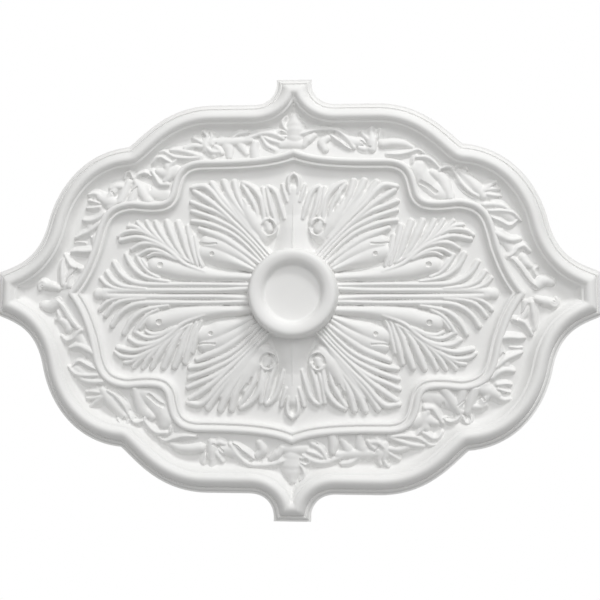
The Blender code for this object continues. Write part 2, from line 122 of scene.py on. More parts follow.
def offsetRuns(loop, distance):
    # the loop moved inwards, as the pairs of neighbouring points that are left after tight corners fold over
    arcStep = offsetting["arcStep"]
    before, after = np.roll(loop, 1, axis=0), np.roll(loop, -1, axis=0)
    first, second = loop - before, after - loop
    first /= np.linalg.norm(first, axis=1)[:, None]
    second /= np.linalg.norm(second, axis=1)[:, None]
    normals = np.stack([first[:, 1] + second[:, 1], -first[:, 0] - second[:, 0]], axis=1)
    normals /= np.maximum((normals**2).sum(axis=1) / 2, offsetting["sharpest"])[:, None]
    turns = np.arctan2(first[:, 0] * second[:, 1] - first[:, 1] * second[:, 0], (first * second).sum(axis=1))
    moved = []
    for corner, way, middle, turn in zip(loop, first, normals, turns):
        if turn * distance < arcStep:
            moved.append(corner + middle * distance)
            continue
        for angle in np.linspace(0, turn, int(turn * distance / arcStep) + 2):
            cosine, sine = math.cos(angle), math.sin(angle)
            across = np.array([way[1] * cosine + way[0] * sine, way[1] * sine - way[0] * cosine])
            moved.append(corner + across * distance)
    moved = np.array(moved)
    kept = np.abs(depthIn(moved, loop) - distance) < offsetting["slack"]
    following = np.roll(np.arange(len(moved)), -1)
    return [(moved[i], moved[j]) for i, j in enumerate(following) if kept[i] and kept[j]]


def pairsAlong(line):
    return [(line[i], line[i + 1]) for i in range(len(line) - 1)]


# Meshes

meshing = {
    "insideOnly": 1,  # the triangulation's own mark for keeping what lies inside the loop
    "weld": 0.02,  # points closer than this become one
    "backWeld": 1e-6,
}


def honeycomb(low, high, spacing):
    # rows of points, every second row moved along by half a step
    rows = np.arange(low[1], high[1], spacing * math.sqrt(3) / 2)
    columns = np.arange(low[0], high[0], spacing)
    x = columns[None] + (np.arange(len(rows)) % 2)[:, None] * spacing / 2
    return np.stack([x.ravel(), np.repeat(rows, len(columns))], axis=1)


def clearOf(points, taken, distance):
    tree = KDTree(len(taken))
    for i, point in enumerate(taken):
        tree.insert((point[0], point[1], 0), i)
    tree.balance()
    return np.array([tree.find((x, y, 0))[2] > distance for x, y in points], bool)


def triangulated(loop, creases, filler):
    # an edge lies along every crease, and the filler only thickens the mesh
    points = [Vector(point) for point in loop]
    edges = []
    for start, end in creases:
        edges.append((len(points), len(points) + 1))
        points += [Vector(start), Vector(end)]
    points += [Vector(point) for point in filler]
    border = list(range(len(loop)))
    made = delaunay_2d_cdt(points, edges, [border], meshing["insideOnly"], meshing["weld"])
    return np.array([tuple(point) for point in made[0]]), made[2]


def newPiece(name, corners, edges, faces):
    mesh = bpy.data.meshes.new(name)
    mesh.from_pydata(corners, edges, faces)
    piece = bpy.data.objects.new(name, mesh)
    bpy.context.scene.collection.objects.link(piece)
    return piece


def hangingMesh(name, points, heights, triangles, backHeight):
    # the moulded face, its edge and a flat back, turned to hang with the face down
    count = len(points)
    faces = [tuple(triangle) for triangle in triangles]
    directed = {pair for a, b, c in faces for pair in ((a, b), (b, c), (c, a))}
    rim = {start: end for start, end in directed if (end, start) not in directed}
    order = [next(iter(rim))]
    while rim[order[-1]] != order[0]:
        order.append(rim[order[-1]])
    lower = {corner: count + i for i, corner in enumerate(order)}
    walls = [(end, start, lower[start], lower[end]) for start, end in rim.items()]
    backPoints, border = [Vector(points[corner]) for corner in order], list(range(len(order)))
    filled = delaunay_2d_cdt(backPoints, [], [border], meshing["insideOnly"], meshing["backWeld"])
    back = [tuple(count + filled[3][corner][0] for corner in reversed(face)) for face in filled[2]]
    flat = np.column_stack([points[order], np.full(len(order), float(backHeight))])
    corners = np.vstack([np.column_stack([points, heights]), flat]) * (1, -1, -1) * millimetre
    return newPiece(name, corners.tolist(), [], faces + walls + back)


def onlyChosen(piece):
    bpy.ops.object.select_all(action="DESELECT")
    piece.select_set(True)
    bpy.context.view_layer.objects.active = piece


def smoothed(piece, degrees):
    onlyChosen(piece)
    bpy.ops.object.shade_smooth_by_angle(angle=math.radians(degrees))


# The outline and the inner frame, as quadrants from the short axis to the long one

curveSteps = 40

outlineShape = {
    "spacing": 2.6,
    "runs": [
        [(0, 267), (22, 267)],
        [(22, 267), (20, 250), (30, 236), (50, 235.5)],
        [(50, 235.5), (102, 235.5)],
        [(102, 235.5), (160, 235), (189, 197), (206, 183.5)],
        [(206, 183.5), (264, 178), (296, 132), (305.5, 88)],
        [(305.5, 88), (316, 41), (344, 35), (365, 26)],
        [(365, 26), (365, 0)],
    ],
}

frameShape = {
    "spacing": 2.6,
    "runs": [
        [(0, 172.5), (22, 162), (60, 160.3), (110, 160.3)],
        [(110, 160.3), (137, 160), (142, 147), (146, 127)],
        [(146, 127), (149, 112.5), (155, 109), (167, 108.3)],
        [(167, 108.3), (185, 107), (195, 111.8), (206, 108.8)],
        [(206, 108.8), (239, 103), (235, 73), (245, 47)],
        [(245, 47), (251, 29), (259, 13), (270, 0)],
    ],
}


def loopOf(shape):
    line = []
    for run in shape["runs"]:
        line += [list(point) for point in evenly(bezier(run, curveSteps), shape["spacing"])[:-1]]
    return wholeLoop(np.array(line + [list(shape["runs"][-1][-1])]))


outline = loopOf(outlineShape)
innerFrame = loopOf(frameShape)


# The body: edge, rim moulding, channel, inner frame and ground

body = {
    "ground": 10.0,
    "rim": [  # distance in from the outline, height above the back
        (0, 5), (0.5, 8.2), (1.3, 9.8), (1.6, 9.2), (2.3, 9.4), (2.6, 10.8), (4.0, 12.9), (5.4, 13.9),
        (6.2, 14.2), (6.5, 13.4), (7.4, 13.4), (7.7, 14.6), (9.2, 17.8), (11.6, 21.2), (14.2, 23.8),
        (16.8, 25.1), (19.0, 25.5), (21.2, 24.9), (23.0, 23.2), (24.1, 21.2), (24.5, 20.4), (25.4, 20.0),
        (26.7, 19.3), (27.1, 18.4), (28.6, 15.6), (30.4, 12.9), (32.4, 11.1), (34.2, 10.3), (36, 10),
    ],
    "frame": [  # distance in from the frame's crest
        (-34, 10), (-5.2, 15.7), (-4.4, 15.9), (-4.2, 17.6), (-3.6, 19.3), (-2.6, 20.7), (-1.2, 21.4),
        (0, 21.5), (1.2, 21.2), (2.4, 20.2), (3.3, 18.7), (4.0, 16.8), (4.6, 16.2), (5.4, 16.2),
        (5.8, 17.4), (6.8, 18.2), (7.9, 18.0), (8.7, 16.9), (9.1, 15.0), (9.9, 13.2), (11.4, 11.9),
        (14.0, 10.9), (17.5, 10.3), (22.2, 10),
    ],
    "channelHeight": 15.8,  # the channel's floor beside the frame, where it starts to slope outwards
    "channelStart": 4.6,
    "channelRun": 34.0,
    "backHeight": 0,
    "fillerSpacing": 9.0,
    "edgeClear": 1,  # filler points keep this far from the edge, and from the creases
    "creaseClear": 2.5,
    "smoothing": 32,
}


def readOff(profile, distances):
    places, values = zip(*profile)
    return np.interp(distances, places, values)


def bodyHeights(points):
    rim = readOff(body["rim"], depthIn(points, outline))
    moulding = readOff(body["frame"], depthIn(points, innerFrame))
    return np.maximum(rim, moulding)


def floorUnder(points):
    # what the carving stands on: the flat ground, and outside the frame the sloping channel
    away = -depthIn(points, innerFrame)
    channel = [(body["channelStart"], body["channelHeight"]), (body["channelRun"], body["ground"])]
    return np.where(away > 0, readOff(channel, away), body["ground"])


def builtBody():
    creases = []
    for distance, _ in body["rim"][1:]:
        creases += offsetRuns(outline, distance)
    for distance, _ in body["frame"]:
        creases += offsetRuns(innerFrame, distance)
    corners = np.array([point for crease in creases for point in crease])
    filler = honeycomb(outline.min(axis=0), outline.max(axis=0), body["fillerSpacing"])
    filler = filler[depthIn(filler, outline) > body["edgeClear"]]
    filler = filler[clearOf(filler, corners, body["creaseClear"])]
    points, triangles = triangulated(outline, creases, filler)
    piece = hangingMesh("roseBody", points, bodyHeights(points), triangles, body["backHeight"])
    smoothed(piece, body["smoothing"])
    return piece


# The carving, drawn as rounded ridges

carving = {
    "splineSteps": 8,
    "lineSpacing": 1.6,
    "cutSpacing": 1.2,
    "sink": 0.8,  # where there is no carving, the piece stays this far under the ground
    "blend": 0.7,  # ridges that meet at nearly the same height flow into each other
    "fullness": [(4, 0.5), (13, 0.62), (18, 1)],  # by half width, as a wide form is rounded more softly
    "sideShares": (0.72, 0.97),  # creases run along a ridge at these shares of its half width
    "bedShares": (0.96,),
    "noseSteps": 6,
    "sideSlack": 0.25,  # a crease that others cover by more than this is left out
    "crestSlack": 0.3,
    "ringSides": 16,
    "ringShares": (0.4, 0.75, 1.0),
    "cutShares": (-1, -0.6, 0, 0.6, 1),
    "hollowFloor": 0.4,  # what a hollow leaves standing on the ground
    "hollowDepth": 1.25,  # its greatest depth, as a share of its radius
    "fillerRise": 0.01,  # filler points lie only where the carving rises by more than this
    "fillerClear": 0.55,  # and this many spacings away from its creases
    "backHeight": 4,  # the hidden flat back of each carved piece
    "smoothing": 42,
}


def spline(points, spacing):
    # a smooth line through every point
    points = np.array(points, float)
    if len(points) == 2:
        return evenly(points, spacing)
    ends = np.vstack([2 * points[0] - points[1], points, 2 * points[-1] - points[-2]])
    t = np.linspace(0, 1, carving["splineSteps"] + 1)[:-1, None]
    line = []
    for a, b, c, d in zip(ends, ends[1:], ends[2:], ends[3:]):
        turn = 2 * b + (c - a) * t + (2 * a - 5 * b + 4 * c - d) * t**2 + (3 * b - a - 3 * c + d) * t**3
        line += list(turn / 2)
    return evenly(np.array(line + [points[-1]]), spacing)


def ridge(points, halfWidths, rises):
    line = spline(points, carving["lineSpacing"])
    shares = np.linspace(0, 1, len(line))
    return {
        "line": line,
        "halfWidth": np.interp(shares, np.linspace(0, 1, len(halfWidths)), halfWidths),
        "rise": np.interp(shares, np.linspace(0, 1, len(rises)), rises),
    }


def bedOf(one, bed):
    # the membrane that a ridge stands on, which stops short of its tip
    kept = max(2, int(len(one["line"]) * bed["reach"]))
    return {
        "line": one["line"][:kept],
        "halfWidth": one["halfWidth"][:kept] * bed["width"],
        "rise": one["rise"][:kept] * bed["rise"],
        "bed": True,
    }


def mirrored(one, xSign, ySign):
    return {**one, "line": one["line"] * (xSign, ySign)}


def reliefOver(points, fingers):
    # how far the carving stands up from the ground
    sink, blend = carving["sink"], carving["blend"]
    rise = np.full(len(points), -sink)
    for one in fingers:
        reach = one["halfWidth"].max()
        low, high = one["line"].min(axis=0) - reach, one["line"].max(axis=0) + reach
        close = np.flatnonzero(((points > low) & (points < high)).all(axis=1))
        if not len(close):
            continue
        gaps, place = toLine(points[close], one["line"])
        stations = np.arange(len(one["line"]))
        share = gaps / np.interp(place, stations, one["halfWidth"])
        crest = np.interp(place, stations, one["rise"])
        fullness = readOff(carving["fullness"], reach)
        dome = (crest + sink) * np.clip(1 - share**2, 0, 1) ** fullness - sink
        apart = np.abs(rise[close] - dome)
        rise[close] = np.maximum(rise[close], dome) + np.clip(blend - apart, 0, None) ** 2 / (4 * blend)
    return rise


def outlineOf(one, share):
    # both sides of a ridge and its round end, at a share of its half width
    line = one["line"]
    steps = np.gradient(line, axis=0)
    steps /= np.linalg.norm(steps, axis=1)[:, None]
    normals = np.stack([-steps[:, 1], steps[:, 0]], axis=1)
    reach = one["halfWidth"][:, None] * share
    left, right = line + normals * reach, line - normals * reach
    turns = np.linspace(0, math.pi, carving["noseSteps"] + 1)[1:-1]
    along, across = steps[-1], normals[-1]
    nose = [line[-1] + reach[-1] * (across * math.cos(turn) + along * math.sin(turn)) for turn in turns]
    return np.vstack([left, nose, right[::-1]])


def hollowCreases(line, radius):
    # rings round a single point, or lines along a longer cut
    if len(line) == 1:
        turns = np.linspace(0, 2 * math.pi, carving["ringSides"] + 1)
        circle = np.stack([np.cos(turns), np.sin(turns)], axis=1)
        rings = [line + circle * radius * share for share in carving["ringShares"]]
        return [pair for ring in rings for pair in pairsAlong(ring)]
    steps = np.gradient(line, axis=0)
    steps /= np.linalg.norm(steps, axis=1)[:, None]
    normals = np.stack([-steps[:, 1], steps[:, 0]], axis=1)
    cuts = [line + normals * radius * share for share in carving["cutShares"]]
    return [pair for cut in cuts for pair in pairsAlong(cut)]


def hollowed(points, heights, floor, hollows):
    # the same heights with each hollow pressed in, deepest along its middle
    heights = heights.copy()
    for line, radius in hollows:
        low, high = line.min(axis=0) - radius, line.max(axis=0) + radius
        close = np.flatnonzero(((points > low) & (points < high)).all(axis=1))
        path = line if len(line) > 1 else np.vstack([line, line])
        share = np.clip(toLine(points[close], path)[0] / radius, 0, 1)
        standing = heights[close] - floor[close] - carving["hollowFloor"]
        deepest = np.clip(standing, 0, radius * carving["hollowDepth"])
        heights[close] -= deepest * (1 - share**2)
    return heights


def shownCreases(fingers):
    # the crests and sides of the ridges, where no higher ridge covers them
    lines, limits = [], []
    for one in fingers:
        for share in carving["bedShares"] if one.get("bed") else carving["sideShares"]:
            lines.append(outlineOf(one, share))
            height = one["rise"].max() * (1 - share**2) ** 0.5
            limits.append(np.full(len(lines[-1]), height + carving["sideSlack"]))
        if not one.get("bed"):
            lines.append(one["line"])
            limits.append(one["rise"] + carving["crestSlack"])
    shown = reliefOver(np.vstack(lines), fingers) < np.concatenate(limits)
    ends = np.cumsum([len(line) for line in lines])
    creases = []
    for line, seen in zip(lines, np.split(shown, ends[:-1])):
        creases += [pair for i, pair in enumerate(pairsAlong(line)) if seen[i] and seen[i + 1]]
    return creases


def carvedPiece(name, loop, fingers, hollows, floorOf, levels, spacing):
    creases = shownCreases(fingers)
    for line, radius in hollows:
        creases += hollowCreases(line, radius)
    creases += levels
    corners = np.array([point for crease in creases for point in crease])
    filler = honeycomb(loop.min(axis=0), loop.max(axis=0), spacing)
    filler = filler[inside(filler, loop)]
    filler = filler[reliefOver(filler, fingers) > carving["fillerRise"] - carving["sink"]]
    filler = filler[clearOf(filler, corners, spacing * carving["fillerClear"])]
    points, triangles = triangulated(loop, creases, filler)
    floor = floorOf(points)
    heights = hollowed(points, floor + reliefOver(points, fingers), floor, hollows)
    piece = hangingMesh(name, points, heights, triangles, carving["backHeight"])
    smoothed(piece, carving["smoothing"])
    return piece


def ridgesOf(settings):
    # every ridge, and a bed under each narrow one
    bed, made = settings["bed"], []
    for lines in settings["ridges"].values():
        group = [ridge(*line) for line in lines]
        made += group + [bedOf(one, bed) for one in group if one["halfWidth"].max() < bed["below"]]
    return made


def hollowLine(line):
    return spline(line, carving["cutSpacing"]) if len(line) > 1 else np.array(line, float)


# The leaf rosette, one quadrant

rosette = {
    "bed": {"width": 1.5, "rise": 0.38, "reach": 0.78, "below": 6},  # for ridges of less half width
    "ridges": {  # each ridge's line from root to tip, then its half widths and its heights along it
        "tipFan": [
            ([(173, 27.5), (179, 33.5), (185.5, 42)], (2.6, 3.4, 3.2), (6.6, 6.6, 5.5)),
            ([(164, 19.5), (176.5, 26), (185.5, 36), (192, 46.5)], (3, 3.8, 3.6), (7, 7, 5.5)),
            ([(151.5, 14.5), (167.5, 17), (181.5, 21), (192.5, 28.5), (200.5, 38.5), (205.5, 48)],
             (3, 4, 4.6, 3.8), (7, 7.4, 7, 5.5)),
            ([(51.5, 10), (112.5, 11), (161.5, 11), (186, 12), (201, 17), (212.5, 26), (220.5, 38.5)],
             (4.2, 3.4, 4.1, 4.7, 3.9), (9, 7.6, 7.2, 7, 5.5)),
            ([(179.5, 6), (205.5, 8.5), (219.5, 15), (229, 26.5)], (3, 4, 4.1, 3.6), (6.8, 6.8, 6.4, 5)),
            ([(198.5, 4), (217, 6.5), (228.5, 11.5), (236, 19)], (2.8, 3.5, 3.6, 3.4), (6.4, 6.2, 5)),
            ([(51.5, 6), (94, 4), (161, 4), (210.5, 3.5), (230.5, 2.5)],
             (5, 4.1, 4.1, 4.7, 5.5), (9, 7.6, 7, 6.6, 6)),
            ([(228, 1), (239, 1)], (4.5, 6.5), (6.2, 5.6)),
        ],
        "hand": [
            ([(51.5, 19.5), (94, 21.5), (131, 26.5), (154, 31.5), (169, 34)],
             (6.5, 7, 10.5, 13, 12), (9.5, 9.2, 9.2, 9.2, 8.8)),
            ([(106.5, 26), (131, 35.5), (147, 49), (162, 59.5), (177.5, 66), (193.5, 69), (212.5, 65.5)],
             (3.6, 4.2, 4.5, 4.2, 3.9), (9.2, 9, 8.4, 7.4, 5.5)),
            ([(139.5, 40.5), (154.5, 54), (172, 60.5), (187, 60.5), (198.5, 54.5)],
             (3.2, 4.2, 4.5, 4.5, 3.6), (8.6, 8.4, 8, 7.2, 5.5)),
            ([(142, 42), (162, 51.5), (177, 53), (190, 47)], (2.9, 3.9, 3.9, 3.4), (8.4, 8, 7.4, 5.5)),
            ([(142, 40.5), (157, 47.5), (169.5, 49), (178, 45.5)], (2.9, 3.6, 3.4, 2.8), (8.6, 8.2, 7.4, 6)),
        ],
        "cross": [
            ([(125, 38), (147.5, 51.5), (162.5, 64), (177.5, 72.5), (192.5, 77), (208, 75.5), (215.5, 70.5)],
             (3.2, 3.7, 3.9, 3.8, 3.2), (8, 7.4, 7, 6.6, 5)),
            ([(172.5, 68), (184, 75.5), (194, 81.5), (203.5, 83)], (3.2, 3.8, 3.8, 3.2), (6.8, 6.8, 6.2, 5)),
            ([(162.5, 63), (175, 71.5), (185.5, 80.5), (192.5, 88)], (3.2, 4, 4, 3.5), (7, 7, 6.4, 5)),
            ([(150, 54), (162.5, 65), (174, 77.5), (181, 89)], (3.2, 4.2, 4.3, 3.5), (7.2, 7.4, 6.8, 5)),
            ([(140, 48), (152.5, 60), (163, 75), (170, 88.5)], (3.2, 4.7, 5, 3.8), (7.4, 7.8, 7.2, 5.2)),
            ([(131.5, 42), (141.5, 56.5), (149, 72.5), (156, 88.5)],
             (3.4, 5.4, 5.9, 4.5), (7.6, 8.2, 7.6, 5.4)),
            ([(122.5, 37), (130, 52.5), (135.5, 70), (142.5, 87.5)],
             (3.4, 5.1, 5.7, 4.5), (7.8, 8.2, 7.6, 5.4)),
            ([(116.5, 34.5), (121.5, 50.5), (125.5, 65), (130, 82.5)], (3.2, 4.5, 5, 4), (7.8, 8, 7.4, 5.4)),
            ([(110.5, 33), (115.5, 45.5), (118, 57.5), (121, 70)], (2.9, 3.8, 4, 3.5), (7.8, 7.8, 7.2, 5.6)),
        ],
        "main": [
            ([(49, 29), (70, 38), (94.5, 47.5), (109.5, 50.5)], (4.5, 8.5, 14, 12), (10, 9.8, 9, 7.4)),
            ([(47, 33), (66.5, 47), (88.5, 57.5), (106, 62.5)], (4.5, 9, 12.5, 10), (9.6, 9.5, 8.9, 7.4)),
            ([(39.5, 35.5), (60.5, 51), (83.5, 66.5), (105, 75.5), (115, 79.5)],
             (4, 5.6, 7, 6.4, 4), (10, 9.9, 9.4, 8, 6)),
            ([(35, 35.5), (55.5, 57), (74, 72), (94, 81.5), (109, 86.5), (124, 89)],
             (3, 3.7, 4.5, 4.8, 3.8), (10, 9.8, 9, 7.8, 5.5)),
            ([(31, 37.5), (52, 61), (71.5, 78), (94, 90), (109, 96), (124.5, 101)],
             (3, 3.7, 4.5, 4.8, 3.8), (10, 9.8, 9, 7.8, 5.5)),
            ([(27.5, 40), (48.5, 63), (69.5, 83), (91.5, 98), (109, 105.5), (125.5, 112.5)],
             (3, 3.7, 4.5, 4.8, 3.8), (10, 9.8, 9, 7.8, 5.5)),
            ([(57, 72), (76.5, 90.5), (93, 105.5), (108, 116.5), (122.5, 126)],
             (3, 3.9, 4.9, 5.3, 4.1), (9.6, 9.4, 8.8, 7.8, 5.5)),
            ([(52, 73), (69.5, 91.5), (87, 109), (100.5, 125), (111, 132), (125, 130.5)],
             (3, 3.9, 4.9, 4.8, 4.1), (9.4, 9.2, 8.8, 7.6, 5.5)),
            ([(25.5, 44), (43.5, 64.5), (61, 84), (76, 103), (89.5, 119), (101, 136)],
             (3, 3.7, 4.8, 5.8, 4.8), (10, 9.8, 9, 8, 5.8)),
            ([(47.5, 79.5), (61, 96.5), (72, 111), (80, 124.5), (86, 138)],
             (3, 4.4, 5.4, 5.8, 4.8), (8.6, 8.8, 8.4, 7.8, 5.8)),
            ([(52.5, 89), (61, 104), (68, 119.5), (73, 137.5)], (3, 4.8, 5.6, 4.8), (8.2, 8.6, 8, 5.8)),
        ],
        "side": [
            ([(35, 69.5), (46.5, 84), (56, 100), (59, 114)], (11, 15, 13, 8), (8.4, 10.2, 9.6, 7.8)),
            ([(45, 67), (61, 88), (73.5, 106.5), (82, 122.5)], (7, 13, 13, 7), (9.4, 9.2, 8.2, 6)),
            ([(35.5, 86.5), (37.5, 104), (40.5, 116), (47, 126), (54.5, 132.5), (62, 136)],
             (4, 4.6, 4.7, 4.4, 3.8), (7.4, 8.2, 8.2, 7, 5.4)),
            ([(43, 91.5), (46.5, 105), (53, 117.5), (59, 127.5), (63, 133)],
             (3.7, 4.6, 5, 3.5), (7.6, 8.2, 7.8, 5.6)),
            ([(30.5, 93), (34.5, 106.5), (36.5, 119), (38, 129)], (3.1, 3.7, 3.8, 3.5), (7, 7.6, 7.2, 5.4)),
            ([(21, 86.5), (26.5, 102.5), (30, 116.5), (33, 129)], (3.3, 4.4, 4.3, 3.5), (7.2, 8, 7.4, 5.4)),
            ([(11, 91.5), (16, 108.5), (20, 120), (25, 127.5), (31, 131)],
             (3.3, 4.1, 4.2, 3.9, 3.5), (7.2, 7.8, 7, 6.4, 5.4)),
            ([(21, 80), (23.5, 72.5), (30, 69.5), (36, 72.5), (39, 80), (36.5, 87.5), (30, 90.5),
              (23.5, 87.5), (21, 80)],
             (3.2, 3.2), (8.6, 8.6)),
            ([(32, 85.5), (29.5, 78)], (6.5, 6.5), (8.2, 8)),
        ],
        "upright": [
            ([(0.5, 50), (0, 72), (0, 84), (0, 97), (0, 112), (0, 126)],
             (27, 22, 20, 18.5, 16.5, 11), (9.6, 9.4, 8.6, 6, 6.2, 6.4)),
            ([(0.5, 49.5), (0.5, 72), (0, 84), (0, 97), (0, 108)],
             (3.0, 2.6, 2.4, 2.2, 1.6), (11, 10.7, 9.8, 7.4, 6.6)),
            ([(4.5, 122.5), (6.5, 133.5), (5, 142.5), (0, 147)], (2.8, 3.0, 3.0), (7, 7.4, 6.6)),
            ([(7.5, 112.5), (11, 123.5), (13.5, 133)], (3.4, 3.6, 3.0), (7, 7, 5.6)),
        ],
    },
    "hollows": [
        ([(161.5, 34.5)], 3.8),
        ([(98.5, 48)], 3.2),
        ([(114, 61.5), (105, 60), (94, 60.5)], 1.9),
        ([(61.5, 123.5), (59, 116.5), (54.5, 109.5)], 2.8),
        ([(51.5, 109), (49, 100.5)], 1.6),
        ([(37.5, 82.5), (35.5, 76), (29.5, 73), (23.5, 75), (21.5, 81)], 2.5),
        ([(29, 88)], 2.6),
        ([(0, 136.5)], 2.6),
    ],
    "edge": 11,  # how far inside the frame's crest the piece ends
    "spacing": 1.2,
}


def levelGround(points):
    return np.full(len(points), body["ground"])


def builtRosette():
    quadrant = ridgesOf(rosette)
    fingers, hollows = [], []
    for xSign in (1, -1):
        for ySign in (1, -1):
            fingers += [mirrored(one, xSign, ySign) for one in quadrant]
            hollows += [(hollowLine(line) * (xSign, ySign), radius) for line, radius in rosette["hollows"]]
    loop = np.array([start for start, _ in offsetRuns(innerFrame, rosette["edge"])])
    return carvedPiece("roseLeaves", loop, fingers, hollows, levelGround, [], rosette["spacing"])


# The vine in the channel: one half, turned half round for the other

